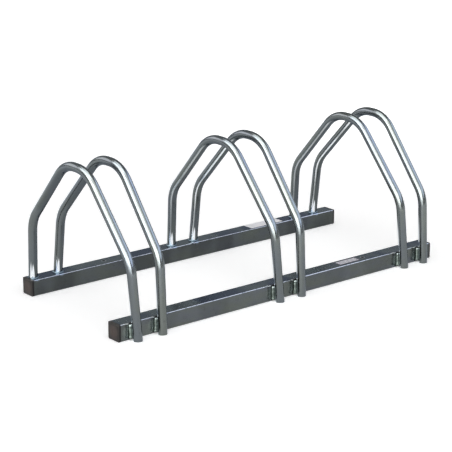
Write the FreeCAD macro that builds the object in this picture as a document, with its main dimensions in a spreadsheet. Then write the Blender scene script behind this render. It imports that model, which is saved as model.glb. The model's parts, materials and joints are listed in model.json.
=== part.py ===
import FreeCAD, Part
import math
import os
from FreeCAD import Placement, Rotation, Vector
import Sketcher

# Floor rack for bicycles: two square rails lie on the floor, and pairs of bent tube hoops stand
# across them. Each hoop has its rear foot on top of the back rail and its front leg against the
# face of the front rail. A tyre goes between the two hoops of a pair.
# Frame: +X along the rails, +Y from the front rail to the back rail, +Z up.
# The origin is on the floor, under the middle of the rack's bounding box.

doc = FreeCAD.newDocument("floor_bike_rack")

# Driving dimensions, in millimetres and degrees.
SIZES = [
    ("places", 3, "number of bicycles"),
    ("place_pitch", 305, "from one place to the next along the rails"),
    ("tyre_gap", 50, "between the centre lines of the two hoops of a place, at the floor"),
    ("end_margin", 30, "from the front rail's ends to the first and last hoop, at the floor"),
    ("hoop_splay", 1.8, "outward lean of each hoop of a pair"),
    ("rail_size", 30, "outside of the square rail tube"),
    ("rail_wall", 1.5, "wall of the rail tube"),
    ("rail_corner", 2.5, "outer corner radius of the rail tube"),
    ("rail_spacing", 280, "between the centre lines of the two rails"),
    ("back_rail_shift", 17, "how far the back rail stands to the right of the front rail"),
    ("tube_diameter", 16, "outside of the hoop tube"),
    ("tube_wall", 1.5, "wall of the hoop tube"),
    ("bend_radius", 62, "centre line radius of the four bends of a hoop"),
    ("rack_height", 267, "top of the hoops above the floor"),
    ("crest_setback", 143.5, "from the front rail's face back to the middle of the crest"),
    ("crest_flat", 7.5, "straight between the two crest bends"),
    ("rear_slope", 47.5, "fall of the rear slope below the horizontal"),
    ("front_slope", 50.5, "fall of the front slope below the horizontal"),
    ("rear_lean", 5, "lean of the rear leg from the vertical"),
    ("front_lean", 5, "lean of the front leg from the vertical"),
    ("weld_gap", 0.15, "between a front leg and the face of the front rail where they are closest"),
    ("foot_bead", 2.4, "radius of the round bead at a rear foot"),
    ("bead_clearance", 0.1, "between a bead and the round tube that it holds"),
    ("side_bead_top", 2.5, "radius at the rail's top of the upright beads beside a front leg"),
    ("side_bead_root", 3.8, "radius at the floor of the upright beads beside a front leg"),
    ("side_bead_spread", 6.6, "from a front leg's middle out to the middle of its beads"),
    ("side_bead_depth", 1.4, "from the front rail's face out to the middle of the beads"),
    ("side_bead_inset", 3, "from the rail's top and bottom to the ends of the beads"),
    ("hole_diameter", 6.5, "floor fixing hole"),
    ("hole_from_end", 163, "from the rail's end to its fixing hole"),
    ("cap_flange", 4, "thickness of an end cap outside the rail"),
    ("cap_edge", 0.8, "rounding of the cap's outer edges"),
    ("cap_plug", 20, "depth of the cap's plug inside the rail"),
    ("cap_wall", 2, "wall of the plug"),
    ("plug_clearance", 1.2, "between the plug and the inside of the rail, each side"),
    ("fin_clearance", 0.1, "between the plug's fins and the inside of the rail, each side"),
    ("fin_thickness", 1, "thickness of one fin"),
    ("fin_pitch", 6, "from one fin to the next"),
    ("fin_count", 3, "number of fins on a plug"),
    ("label_thickness", 0.2, "film of the stick-on labels"),
    ("label_corner", 1.5, "corner radius of the labels"),
    ("front_label_length", 54, "label on the front rail, along the rail"),
    ("front_label_width", 20, "label on the front rail, across the rail"),
    ("front_label_from_end", 201, "from the front rail's right end to the middle of its label"),
    ("back_label_length", 80, "label on the back rail, along the rail"),
    ("back_label_width", 24, "label on the back rail, across the rail"),
    ("back_label_from_end", 176, "from the back rail's right end to the middle of its label"),
]

sheet = doc.addObject("Spreadsheet::Sheet", "Sizes")
for row, (alias, number, meaning) in enumerate(SIZES, start=1):
    sheet.set(f"A{row}", meaning)
    sheet.set(f"B{row}", str(number))
    sheet.setAlias(f"B{row}", alias)
doc.recompute()


def value(expression):
    """The number that an expression on the sheet's sizes gives."""
    return float(sheet.evalExpression(expression))


# Derived sizes and places, as expressions on the sheet.
RAIL_LENGTH = (
    "((Sizes.places - 1) * Sizes.place_pitch + Sizes.tyre_gap + 2 * Sizes.end_margin)"
)
STEEL_LENGTH = f"({RAIL_LENGTH} - 2 * Sizes.cap_flange)"
RAIL_INSIDE = "(Sizes.rail_size - 2 * Sizes.rail_wall)"
INSIDE_CORNER = "max(Sizes.rail_corner - Sizes.rail_wall; 0.3)"
TUBE_RADIUS = "(Sizes.tube_diameter / 2)"
CREST_HEIGHT = f"((Sizes.rack_height - {TUBE_RADIUS}) / cos(Sizes.hoop_splay * 1 deg))"
# The front leg leans back, so it comes closest to the rail at the top of the rail's flat face.
CONTACT_HEIGHT = "(Sizes.rail_size - Sizes.rail_corner)"
LEG_HALF_DEPTH = f"({TUBE_RADIUS} / cos(Sizes.front_lean * 1 deg))"
FRONT_FOOT = (
    f"(Sizes.weld_gap + {LEG_HALF_DEPTH} + {CONTACT_HEIGHT} * tan(Sizes.front_lean * 1 deg))"
)
REAR_FOOT = "(Sizes.rail_spacing + Sizes.rail_size / 2)"
# Places in the part's frame: the rack's left end, and the front rail's face.
LEFT_END = f"(-({RAIL_LENGTH} + Sizes.back_rail_shift) / 2)"
FRONT_REACH = f"({FRONT_FOOT} + {LEG_HALF_DEPTH})"
FACE_Y = f"(({FRONT_REACH} - Sizes.rail_spacing - Sizes.rail_size) / 2)"
CREST_Y = f"({FACE_Y} + Sizes.crest_setback)"
FRONT_RAIL_Y = f"({FACE_Y} + Sizes.rail_size / 2)"
BACK_RAIL_Y = f"({FRONT_RAIL_Y} + Sizes.rail_spacing)"
BACK_RAIL_LEFT = f"({LEFT_END} + Sizes.back_rail_shift)"
PLUG_SIZE = f"({RAIL_INSIDE} - 2 * Sizes.plug_clearance)"
PLUG_BORE = f"({PLUG_SIZE} - 2 * Sizes.cap_wall)"
FIN_SIZE = f"({RAIL_INSIDE} - 2 * Sizes.fin_clearance)"

# How far a leg is swept past the plane that cuts it flat, and how far cutting blocks reach.
TRIM = 6
REACH = 40


def plane(body, role):
    """One of a body's own origin planes."""
    return next(item for item in body.Origin.OriginFeatures if item.Role == role)


def new_sketch(body, name, role, offset=None):
    """A sketch on one of the body's origin planes, moved along its normal if offset is given."""
    sketch = body.newObject("Sketcher::SketchObject", name)
    sketch.AttachmentSupport = [(plane(body, role), "")]
    sketch.MapMode = "FlatFace"
    if offset is not None:
        sketch.setExpression("AttachmentOffset.Base.z", offset)
    return sketch


def bind(sketch, constraint, name, expression):
    """Adds a dimension to a sketch and ties it to an expression on the sheet."""
    index = sketch.addConstraint(constraint)
    sketch.renameConstraint(index, name)
    sketch.setExpression(f"Constraints.{name}", expression)


def rounded_rectangle(sketch, name, width, height, radius):
    """A rectangle round the sketch's origin with four equal round corners."""
    half_w = value(width) / 2
    half_h = value(height) / 2
    r = value(radius)
    x = half_w - r
    y = half_h - r
    lines = [
        ((-x, -half_h), (x, -half_h)),
        ((half_w, -y), (half_w, y)),
        ((x, half_h), (-x, half_h)),
        ((-half_w, y), (-half_w, -y)),
    ]
    centres = [(x, -y), (x, y), (-x, y), (-x, -y)]
    sides = []
    corners = []
    for turn in range(4):
        start, end = lines[turn]
        segment = Part.LineSegment(Vector(*start, 0), Vector(*end, 0))
        sides.append(sketch.addGeometry(segment, False))
        circle = Part.Circle(Vector(*centres[turn], 0), Vector(0, 0, 1), r)
        start_angle = math.radians(90 * turn - 90)
        arc = Part.ArcOfCircle(circle, start_angle, start_angle + math.pi / 2)
        corners.append(sketch.addGeometry(arc, False))
    for turn in range(4):
        level = "Horizontal" if turn % 2 == 0 else "Vertical"
        sketch.addConstraint(Sketcher.Constraint(level, sides[turn]))
        sketch.addConstraint(Sketcher.Constraint("Tangent", sides[turn], 2, corners[turn], 1))
        following = sides[(turn + 1) % 4]
        sketch.addConstraint(Sketcher.Constraint("Tangent", corners[turn], 2, following, 1))
    for turn in range(1, 4):
        sketch.addConstraint(Sketcher.Constraint("Equal", corners[0], corners[turn]))
    sketch.addConstraint(Sketcher.Constraint("Symmetric", corners[0], 3, corners[2], 3, -1, 1))
    bind(sketch, Sketcher.Constraint("Radius", corners[0], r), f"{name}_corner", radius)
    across = Sketcher.Constraint("DistanceX", sides[3], 1, sides[1], 1, 2 * half_w)
    bind(sketch, across, f"{name}_width", width)
    up = Sketcher.Constraint("DistanceY", sides[0], 1, sides[2], 1, 2 * half_h)
    bind(sketch, up, f"{name}_height", height)


def pad(body, name, sketch, length, backwards=False):
    """Extrudes a sketch by a length from the sheet."""
    feature = body.newObject("PartDesign::Pad", name)
    feature.Profile = sketch
    feature.Reversed = backwards
    feature.setExpression("Length", length)
    body.Tip = feature
    return feature


def new_body(name, place):
    """A named body at a placement given by an expression."""
    body = doc.addObject("PartDesign::Body", name)
    body.Label = name
    body.setExpression("Placement", place)
    return body


def at(x, y, z, turn="rotation(vector(0; 0; 1); 0)"):
    """The expression of a placement."""
    return f"placement(vector({x}; {y}; {z}); {turn})"


def make_rail(name, left, y, hole_x):
    """A square tube with round corners, drilled through both walls for one floor screw."""
    body = new_body(name, at(f"{left} + Sizes.cap_flange", y, "Sizes.rail_size / 2"))
    section = new_sketch(body, f"{name}_section", "YZ_Plane")
    rounded_rectangle(section, "outside", "Sizes.rail_size", "Sizes.rail_size", "Sizes.rail_corner")
    rounded_rectangle(section, "inside", RAIL_INSIDE, RAIL_INSIDE, INSIDE_CORNER)
    pad(body, f"{name}_tube", section, STEEL_LENGTH)
    hole = new_sketch(body, f"{name}_hole", "XY_Plane")
    start_x = value(hole_x)
    circle = Part.Circle(Vector(start_x, 0, 0), Vector(0, 0, 1), value("Sizes.hole_diameter") / 2)
    ring = hole.addGeometry(circle, False)
    hole.addConstraint(Sketcher.Constraint("PointOnObject", ring, 3, -1))
    diameter = Sketcher.Constraint("Diameter", ring, value("Sizes.hole_diameter"))
    bind(hole, diameter, "drill", "Sizes.hole_diameter")
    along = Sketcher.Constraint("DistanceX", -1, 1, ring, 3, start_x)
    bind(hole, along, "along", hole_x)
    drill = body.newObject("PartDesign::Pocket", f"{name}_drilling")
    drill.Profile = hole
    drill.Type = "ThroughAll"
    drill.Midplane = True
    body.Tip = drill
    return body


def make_cap(name, x, y, at_left):
    """A plastic end cap: a flange over the rail's end, and a hollow plug with fins inside it."""
    turn = f"rotation(vector(0; 0; 1); {0 if at_left else 180})"
    body = new_body(name, at(x, y, "Sizes.rail_size / 2", turn))
    face = new_sketch(body, f"{name}_face", "YZ_Plane")
    rounded_rectangle(face, "face", "Sizes.rail_size", "Sizes.rail_size", "Sizes.rail_corner")
    flange = pad(body, f"{name}_flange", face, "Sizes.cap_flange", backwards=True)
    doc.recompute()
    edges = []
    for index, edge in enumerate(flange.Shape.Edges, start=1):
        if all(vertex.X < -value("Sizes.cap_flange") / 2 for vertex in edge.Vertexes):
            edges.append(f"Edge{index}")
    rounding = body.newObject("PartDesign::Fillet", f"{name}_rounding")
    rounding.Base = (flange, edges)
    rounding.setExpression("Radius", "Sizes.cap_edge")
    body.Tip = rounding
    plug = new_sketch(body, f"{name}_plug_section", "YZ_Plane")
    rounded_rectangle(plug, "plug", PLUG_SIZE, PLUG_SIZE, INSIDE_CORNER)
    rounded_rectangle(plug, "bore", PLUG_BORE, PLUG_BORE, INSIDE_CORNER)
    pad(body, f"{name}_plug", plug, "Sizes.cap_plug")
    first_fin = "Sizes.cap_plug - Sizes.fin_thickness - (Sizes.fin_count - 1) * Sizes.fin_pitch"
    ring = new_sketch(body, f"{name}_fin_section", "YZ_Plane", offset=first_fin)
    rounded_rectangle(ring, "fin", FIN_SIZE, FIN_SIZE, INSIDE_CORNER)
    rounded_rectangle(ring, "hollow", PLUG_BORE, PLUG_BORE, INSIDE_CORNER)
    fin = pad(body, f"{name}_fin", ring, "Sizes.fin_thickness")
    fins = body.newObject("PartDesign::LinearPattern", f"{name}_fins")
    fins.Originals = [fin]
    fins.Direction = (ring, ["N_Axis"])
    fins.setExpression("Length", "(Sizes.fin_count - 1) * Sizes.fin_pitch")
    fins.setExpression("Occurrences", "Sizes.fin_count")
    body.Tip = fins
    return body


def half_path(body, name, side, slope, lean, foot_y, foot_z):
    """Half of a hoop's centre line, from the middle of the crest down one side.

    side is -1 towards the front and 1 towards the back. foot_y is measured from the crest's
    middle, and foot_z from the floor; the line runs on past the foot by TRIM.
    """
    sketch = new_sketch(body, name, "YZ_Plane")
    top = value(CREST_HEIGHT)
    radius = value("Sizes.bend_radius")
    half_flat = value("Sizes.crest_flat") / 2
    beta = math.radians(value(slope))
    alpha = math.radians(value(lean))
    end_y = f"({foot_y} + {TRIM} * tan({lean} * 1 deg))"
    end_z = f"({foot_z} - {TRIM})"
    shoulder_turn = math.pi / 2 - alpha - beta

    # Distances out from the crest's middle and down from its centre line, so both sides match.
    run = value(end_y)
    drop = top - value(end_z)
    crest_reach = half_flat + radius * math.tan(beta / 2)
    slope_length = ((run - crest_reach) * math.cos(alpha) - drop * math.sin(alpha)) / math.cos(
        alpha + beta
    )
    crest_end = (half_flat + radius * math.sin(beta), radius * (1 - math.cos(beta)))
    straight = slope_length - radius * (math.tan(beta / 2) + math.tan(shoulder_turn / 2))
    shoulder_start = (
        crest_end[0] + straight * math.cos(beta),
        crest_end[1] + straight * math.sin(beta),
    )
    crest_centre = (half_flat, radius)
    shoulder_centre = (
        shoulder_start[0] - radius * math.sin(beta),
        shoulder_start[1] + radius * math.cos(beta),
    )
    shoulder_end = (
        shoulder_centre[0] + radius * math.cos(alpha),
        shoulder_centre[1] - radius * math.sin(alpha),
    )

    def point(out_and_down):
        return Vector(side * out_and_down[0], top - out_and_down[1], 0)

    def line(start, end):
        return sketch.addGeometry(Part.LineSegment(point(start), point(end)), False)

    def bend(centre, steep, shallow):
        """An arc between two directions, given as angles below the horizontal."""
        circle = Part.Circle(point(centre), Vector(0, 0, 1), radius)
        angles = sorted(math.pi / 2 - side * angle for angle in (steep, shallow))
        return sketch.addGeometry(Part.ArcOfCircle(circle, *angles), False)

    flat = line((0, 0), (half_flat, 0))
    crest = bend(crest_centre, beta, 0)
    fall = line(crest_end, shoulder_start)
    shoulder = bend(shoulder_centre, beta + shoulder_turn, beta)
    leg = line(shoulder_end, (run, drop))

    # A sketch arc always runs anticlockwise, so its near end changes with the side.
    near, far = (2, 1) if side > 0 else (1, 2)
    sketch.addConstraint(Sketcher.Constraint("PointOnObject", flat, 1, -2))
    sketch.addConstraint(Sketcher.Constraint("Horizontal", flat))
    sketch.addConstraint(Sketcher.Constraint("Tangent", flat, 2, crest, near))
    sketch.addConstraint(Sketcher.Constraint("Tangent", crest, far, fall, 1))
    sketch.addConstraint(Sketcher.Constraint("Tangent", fall, 2, shoulder, near))
    sketch.addConstraint(Sketcher.Constraint("Tangent", shoulder, far, leg, 1))
    bind(sketch, Sketcher.Constraint("DistanceY", -1, 1, flat, 1, top), "crest", CREST_HEIGHT)
    outward = (flat, 1, flat, 2) if side > 0 else (flat, 2, flat, 1)
    half = Sketcher.Constraint("DistanceX", *outward, half_flat)
    bind(sketch, half, "half_flat", "Sizes.crest_flat / 2")
    for name_part, arc in (("crest", crest), ("shoulder", shoulder)):
        size = Sketcher.Constraint("Radius", arc, radius)
        bind(sketch, size, f"{name_part}_radius", "Sizes.bend_radius")
    bind(sketch, Sketcher.Constraint("Angle", crest, beta), "crest_turn", f"{slope} * 1 deg")
    turn = Sketcher.Constraint("Angle", shoulder, shoulder_turn)
    bind(sketch, turn, "shoulder_turn", f"(90 - {slope} - {lean}) * 1 deg")
    outward = (-1, 1, leg, 2) if side > 0 else (leg, 2, -1, 1)
    bind(sketch, Sketcher.Constraint("DistanceX", *outward, run), "foot", end_y)
    below = Sketcher.Constraint("DistanceY", leg, 2, flat, 1, drop)
    bind(sketch, below, "drop", f"{CREST_HEIGHT} - {end_z}")
    return sketch


def hoop_place(x, side):
    """The placement of a hoop's own frame: on the floor under its crest, leaning outwards."""
    return at(x, CREST_Y, 0, f"rotation(vector(0; 1; 0); {side} * Sizes.hoop_splay)")


def make_block(name, place, length, width, height):
    """A box used only to cut or to keep."""
    block = doc.addObject("Part::Box", name)
    block.setExpression("Length", length)
    block.setExpression("Width", width)
    block.setExpression("Height", height)
    block.setExpression("Placement", place)
    return block


def combine(kind, name, base, tool):
    """A boolean of two objects: Part::Cut or Part::Common."""
    result = doc.addObject(kind, name)
    result.Base = base
    result.Tool = tool
    return result


FRONT_FOOT_RUN = f"(Sizes.crest_setback + {FRONT_FOOT})"
REAR_FOOT_RUN = f"({REAR_FOOT} - Sizes.crest_setback)"


def make_hoop(name, x, side):
    """One bent tube, cut flat at the floor in front and on top of the back rail behind."""
    body = doc.addObject("PartDesign::Body", f"{name}_tube")
    body.setExpression("Placement", hoop_place(x, side))
    front = half_path(
        body, f"{name}_front_path", -1, "Sizes.front_slope", "Sizes.front_lean", FRONT_FOOT_RUN, "0"
    )
    rear = half_path(
        body,
        f"{name}_rear_path",
        1,
        "Sizes.rear_slope",
        "Sizes.rear_lean",
        REAR_FOOT_RUN,
        "Sizes.rail_size",
    )
    ring = new_sketch(body, f"{name}_ring", "XZ_Plane")
    centre = Vector(0, value(CREST_HEIGHT), 0)
    walls = (("outer", TUBE_RADIUS), ("inner", f"({TUBE_RADIUS} - Sizes.tube_wall)"))
    for wall, radius in walls:
        circle = Part.Circle(centre, Vector(0, 0, 1), value(radius))
        index = ring.addGeometry(circle, False)
        ring.addConstraint(Sketcher.Constraint("PointOnObject", index, 3, -2))
        bind(ring, Sketcher.Constraint("Radius", index, value(radius)), f"{wall}_radius", radius)
        height = Sketcher.Constraint("DistanceY", -1, 1, index, 3, centre.y)
        bind(ring, height, f"{wall}_height", CREST_HEIGHT)
    for half, path in (("front", front), ("rear", rear)):
        pipe = body.newObject("PartDesign::AdditivePipe", f"{name}_{half}_half")
        pipe.Profile = ring
        pipe.Spine = (path, [f"Edge{number}" for number in range(1, 6)])
        body.Tip = pipe
    width = f"{2 * REACH} + Sizes.tube_diameter"
    left = f"{x} - ({width}) / 2"
    above = make_block(
        f"{name}_above_floor",
        at(left, f"{FACE_Y} - {FRONT_REACH} - {REACH}", 0),
        width,
        f"{FRONT_REACH} + Sizes.rail_spacing + Sizes.rail_size + {2 * REACH}",
        f"Sizes.rack_height + {REACH}",
    )
    standing = combine("Part::Common", f"{name}_standing", body, above)
    under_foot = make_block(
        f"{name}_under_foot",
        at(left, f"{BACK_RAIL_Y} - {REACH}", f"-{REACH}"),
        width,
        f"{2 * REACH}",
        f"Sizes.rail_size + {REACH}",
    )
    hoop = combine("Part::Cut", name, standing, under_foot)
    hoop.Label = name
    return hoop


def leg_rod(name, x, side, end, foot_run, foot_z, lean):
    """A solid rod along one leg of a hoop, just thicker than the tube, that shapes its beads."""
    rod = doc.addObject("Part::Cylinder", name)
    rod.setExpression("Radius", f"{TUBE_RADIUS} + Sizes.bead_clearance")
    rod.setExpression("Height", f"Sizes.rail_size + {2 * TRIM}")
    foot = at("0", f"{end} * {foot_run}", foot_z, f"rotation(vector(1; 0; 0); {end} * {lean})")
    down = at("0", "0", f"-{TRIM}")
    rod.setExpression("Placement", f"{hoop_place(x, side)} * {foot} * {down}")
    return rod


def make_foot_weld(name, x, side):
    """The round bead where a rear foot stands on the back rail, kept to the rail's own steel."""
    bead = doc.addObject("Part::Torus", f"{name}_bead")
    foot_x = f"{x} + {side} * Sizes.rail_size * tan(Sizes.hoop_splay * 1 deg)"
    bead.setExpression("Radius1", TUBE_RADIUS)
    bead.setExpression("Radius2", "Sizes.foot_bead")
    bead.setExpression("Placement", at(foot_x, BACK_RAIL_Y, "Sizes.rail_size"))
    steel = make_block(
        f"{name}_steel",
        at(
            f"{BACK_RAIL_LEFT} + Sizes.cap_flange",
            f"{BACK_RAIL_Y} - Sizes.rail_size / 2",
            "Sizes.rail_size",
        ),
        STEEL_LENGTH,
        "Sizes.rail_size",
        "Sizes.rail_size",
    )
    top = combine("Part::Common", f"{name}_top", bead, steel)
    rod = leg_rod(
        f"{name}_leg", x, side, 1, REAR_FOOT_RUN, "Sizes.rail_size", "Sizes.rear_lean"
    )
    weld = combine("Part::Cut", name, top, rod)
    weld.Label = name
    return weld


def make_side_welds(name, x, side):
    """Two upright beads that join a front leg to the face of the front rail, one on each side."""
    rod = leg_rod(f"{name}_leg", x, side, -1, FRONT_FOOT_RUN, "0", "Sizes.front_lean")
    in_front = make_block(
        f"{name}_in_front",
        at(f"{x} - {REACH}", f"{FACE_Y} - {REACH}", "Sizes.side_bead_inset"),
        f"{2 * REACH}",
        f"{REACH}",
        "Sizes.rail_size - 2 * Sizes.side_bead_inset",
    )
    beads = []
    for hand in (-1, 1):
        tag = "left" if hand < 0 else "right"
        bead = doc.addObject("Part::Cone", f"{name}_{tag}_rod")
        bead.setExpression("Radius1", "Sizes.side_bead_root")
        bead.setExpression("Radius2", "Sizes.side_bead_top")
        bead.setExpression("Height", "Sizes.rail_size")
        tilt = f"rotation(vector(0; 1; 0); {side} * Sizes.hoop_splay)"
        centre_x = f"{x} + {hand} * Sizes.side_bead_spread"
        bead.setExpression("Placement", at(centre_x, f"{FACE_Y} - Sizes.side_bead_depth", 0, tilt))
        outside = combine("Part::Common", f"{name}_{tag}_outside", bead, in_front)
        beads.append(combine("Part::Cut", f"{name}_{tag}_bead", outside, rod))
    welds = doc.addObject("Part::Compound", name)
    welds.Links = beads
    welds.Label = name
    return welds


def make_label(name, x, y, length, width):
    """A thin film stuck on top of a rail."""
    body = new_body(name, at(x, y, "Sizes.rail_size"))
    outline = new_sketch(body, f"{name}_outline", "XY_Plane")
    rounded_rectangle(outline, "label", length, width, "Sizes.label_corner")
    pad(body, f"{name}_film", outline, "Sizes.label_thickness")
    return body


# The rack has one fixing hole in each rail, near opposite ends.
NEAR_HOLE = "(Sizes.hole_from_end - Sizes.cap_flange)"
FAR_HOLE = f"({STEEL_LENGTH} - {NEAR_HOLE})"

parts = [
    make_rail("front_rail", LEFT_END, FRONT_RAIL_Y, FAR_HOLE),
    make_rail("back_rail", BACK_RAIL_LEFT, BACK_RAIL_Y, NEAR_HOLE),
]
for rail, left, y in (("front", LEFT_END, FRONT_RAIL_Y), ("back", BACK_RAIL_LEFT, BACK_RAIL_Y)):
    left_seat = f"{left} + Sizes.cap_flange"
    parts.append(make_cap(f"{rail}_left_cap", left_seat, y, True))
    parts.append(make_cap(f"{rail}_right_cap", f"{left_seat} + {STEEL_LENGTH}", y, False))
for place in range(int(value("Sizes.places"))):
    for side, hand in ((-1, "left"), (1, "right")):
        x = f"({LEFT_END} + Sizes.end_margin + {place} * Sizes.place_pitch"
        x += " + Sizes.tyre_gap)" if side > 0 else ")"
        stem = f"place_{place + 1}_{hand}"
        parts.append(make_hoop(f"{stem}_hoop", x, side))
        parts.append(make_foot_weld(f"{stem}_foot_weld", x, side))
        parts.append(make_side_welds(f"{stem}_side_welds", x, side))
parts.append(
    make_label(
        "front_label",
        f"{LEFT_END} + {RAIL_LENGTH} - Sizes.front_label_from_end",
        FRONT_RAIL_Y,
        "Sizes.front_label_length",
        "Sizes.front_label_width",
    )
)
parts.append(
    make_label(
        "back_label",
        f"{BACK_RAIL_LEFT} + {RAIL_LENGTH} - Sizes.back_label_from_end",
        BACK_RAIL_Y,
        "Sizes.back_label_length",
        "Sizes.back_label_width",
    )
)

doc.recompute()

for item in doc.Objects:
    if "Invalid" in item.State or "Error" in item.State:
        raise RuntimeError(f"{item.Label} did not recompute: {item.State}")
for part in parts:
    if part.Shape.isNull() or not part.Shape.isValid() or not part.Shape.Solids:
        raise RuntimeError(f"{part.Label} has no valid solid")

os.makedirs("parts", exist_ok=True)
for part in parts:
    part.Shape.exportStep(f"parts/{part.Label}.step")
    solids = len(part.Shape.Solids)
    print(f"{part.Label}: {solids} solid(s), {part.Shape.Volume:.1f} mm3")
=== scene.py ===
# %% [markdown]
# # A floor rack for three bicycles
#
# The rack is zinc-plated steel: two square rails lie on the floor, and pairs of bent round tubes
# stand across them. A wheel rolls in between the two tubes of a pair. The engineering model
# already holds every piece at its real size, so this notebook loads it as a fixed frame and adds
# what a camera sees: tubes with an even, flowing surface, rippled weld beads, moulded end caps,
# and the finish of every surface.

# %% Load the frame
import json
import math
import random

import bmesh
import bpy
import numpy as np
from mathutils import Matrix, Vector

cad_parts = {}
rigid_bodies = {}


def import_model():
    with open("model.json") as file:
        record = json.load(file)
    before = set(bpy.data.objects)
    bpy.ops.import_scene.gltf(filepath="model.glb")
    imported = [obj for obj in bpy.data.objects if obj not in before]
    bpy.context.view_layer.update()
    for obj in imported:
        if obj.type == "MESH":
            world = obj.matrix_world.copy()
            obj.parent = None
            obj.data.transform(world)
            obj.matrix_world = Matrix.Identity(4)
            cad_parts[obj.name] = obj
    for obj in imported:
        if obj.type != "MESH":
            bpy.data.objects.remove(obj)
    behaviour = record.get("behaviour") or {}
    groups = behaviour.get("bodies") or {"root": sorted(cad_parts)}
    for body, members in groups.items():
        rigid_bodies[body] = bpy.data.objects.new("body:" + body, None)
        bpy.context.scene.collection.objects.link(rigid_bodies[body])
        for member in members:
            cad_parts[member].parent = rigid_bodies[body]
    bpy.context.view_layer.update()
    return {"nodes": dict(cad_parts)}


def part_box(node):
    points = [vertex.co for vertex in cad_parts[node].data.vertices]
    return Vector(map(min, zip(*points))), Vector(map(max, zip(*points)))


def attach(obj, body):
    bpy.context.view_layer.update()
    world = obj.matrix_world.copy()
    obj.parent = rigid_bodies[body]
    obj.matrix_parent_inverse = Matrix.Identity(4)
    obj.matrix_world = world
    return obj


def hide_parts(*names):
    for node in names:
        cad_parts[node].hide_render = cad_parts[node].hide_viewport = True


for leftover in list(bpy.data.objects):
    bpy.data.objects.remove(leftover)
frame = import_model()

# %% Sizes that several steps share
MM = 0.001
NEAR = 0.1 * MM  # closer than this counts as the same place
PLACES = [(place, hand) for place in (1, 2, 3) for hand in ("left", "right")]
TUBE_RADIUS = 8 * MM
FLANGE = 4 * MM

front_low, front_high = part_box("front_rail")
back_low, back_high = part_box("back_rail")
RAIL_TOP = front_high.z
print("The rails are", round(RAIL_TOP / MM, 2), "mm high, and hoops stand at", PLACES)

# %% [markdown]
# ## Working in edit mode from a script
#
# An operator acts on whatever is selected, so each step first selects nothing, and then picks its
# own object. In edit mode, faces and edges are picked by where they are. These helpers do
# that, so that the cells after them read like the steps of modelling by hand.

# %% Selection helpers
def take_nothing():
    """Leaves edit mode and selects nothing, ready for a new primitive."""
    if bpy.context.mode != "OBJECT":
        bpy.ops.object.mode_set(mode="OBJECT")
    bpy.ops.object.select_all(action="DESELECT")


def take(*pieces):
    """Selects only these pieces. The first of them is the active one."""
    take_nothing()
    for piece in pieces:
        piece.select_set(True)
    bpy.context.view_layer.objects.active = pieces[0]


def edit(piece, kind="FACE"):
    """Enters edit mode on the piece with nothing selected."""
    take(piece)
    bpy.ops.object.mode_set(mode="EDIT")
    bpy.ops.mesh.select_mode(type=kind)
    bpy.ops.mesh.select_all(action="DESELECT")


def pick(piece, kind, wanted):
    """Selects the faces, edges or vertices for which wanted is true, and returns how many."""
    bpy.ops.mesh.select_mode(type=kind)
    bpy.ops.mesh.select_all(action="DESELECT")
    mesh = bmesh.from_edit_mesh(piece.data)
    found = {"FACE": mesh.faces, "EDGE": mesh.edges, "VERT": mesh.verts}[kind]
    chosen = [element for element in found if wanted(element)]
    for element in chosen:
        element.select_set(True)
    mesh.select_flush_mode()
    bmesh.update_edit_mesh(piece.data)
    return len(chosen)


def middle(element):
    """The middle of a face, or of an edge."""
    if isinstance(element, bmesh.types.BMFace):
        return element.calc_center_median()
    return (element.verts[0].co + element.verts[1].co) / 2


def finish_piece(piece, name, material, slot, *nodes):
    """Names a piece, gives it its material, and puts it in the place of its CAD nodes."""
    take(piece)
    bpy.ops.object.transform_apply(location=True, rotation=True, scale=True)
    piece.name = name
    piece.data.name = name
    piece.data.materials.clear()
    piece.data.materials.append(material)
    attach(piece, "root")
    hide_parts(*nodes)
    return piece


print("The selection helpers are ready")

# %% [markdown]
# ## Shader maths as plain expressions
#
# A finish is a sum of masks and noises. Wiring every Math node by hand hides the idea, so a small
# class wraps a node's output and gives it the usual operators: `1 - mask * 0.5` then builds its
# own nodes. Every other node comes from one method, which sets the node's settings first and then
# its inputs. The methods after it are short names for the kinds of node that the finishes use.

# %% The Signal, Nodes and Finish classes
class Signal:
    """One output of a shader node, for use in sums."""

    def __init__(self, nodes, socket):
        self.nodes = nodes
        self.socket = socket

    def __add__(self, other):
        return self.nodes.maths("ADD", self, other)

    def __sub__(self, other):
        return self.nodes.maths("SUBTRACT", self, other)

    def __rsub__(self, other):
        return self.nodes.maths("SUBTRACT", other, self)

    def __mul__(self, other):
        return self.nodes.maths("MULTIPLY", self, other)

    def __truediv__(self, other):
        return self.nodes.maths("DIVIDE", self, other)

    def __rtruediv__(self, other):
        return self.nodes.maths("DIVIDE", other, self)

    __radd__ = __add__
    __rmul__ = __mul__


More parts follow.
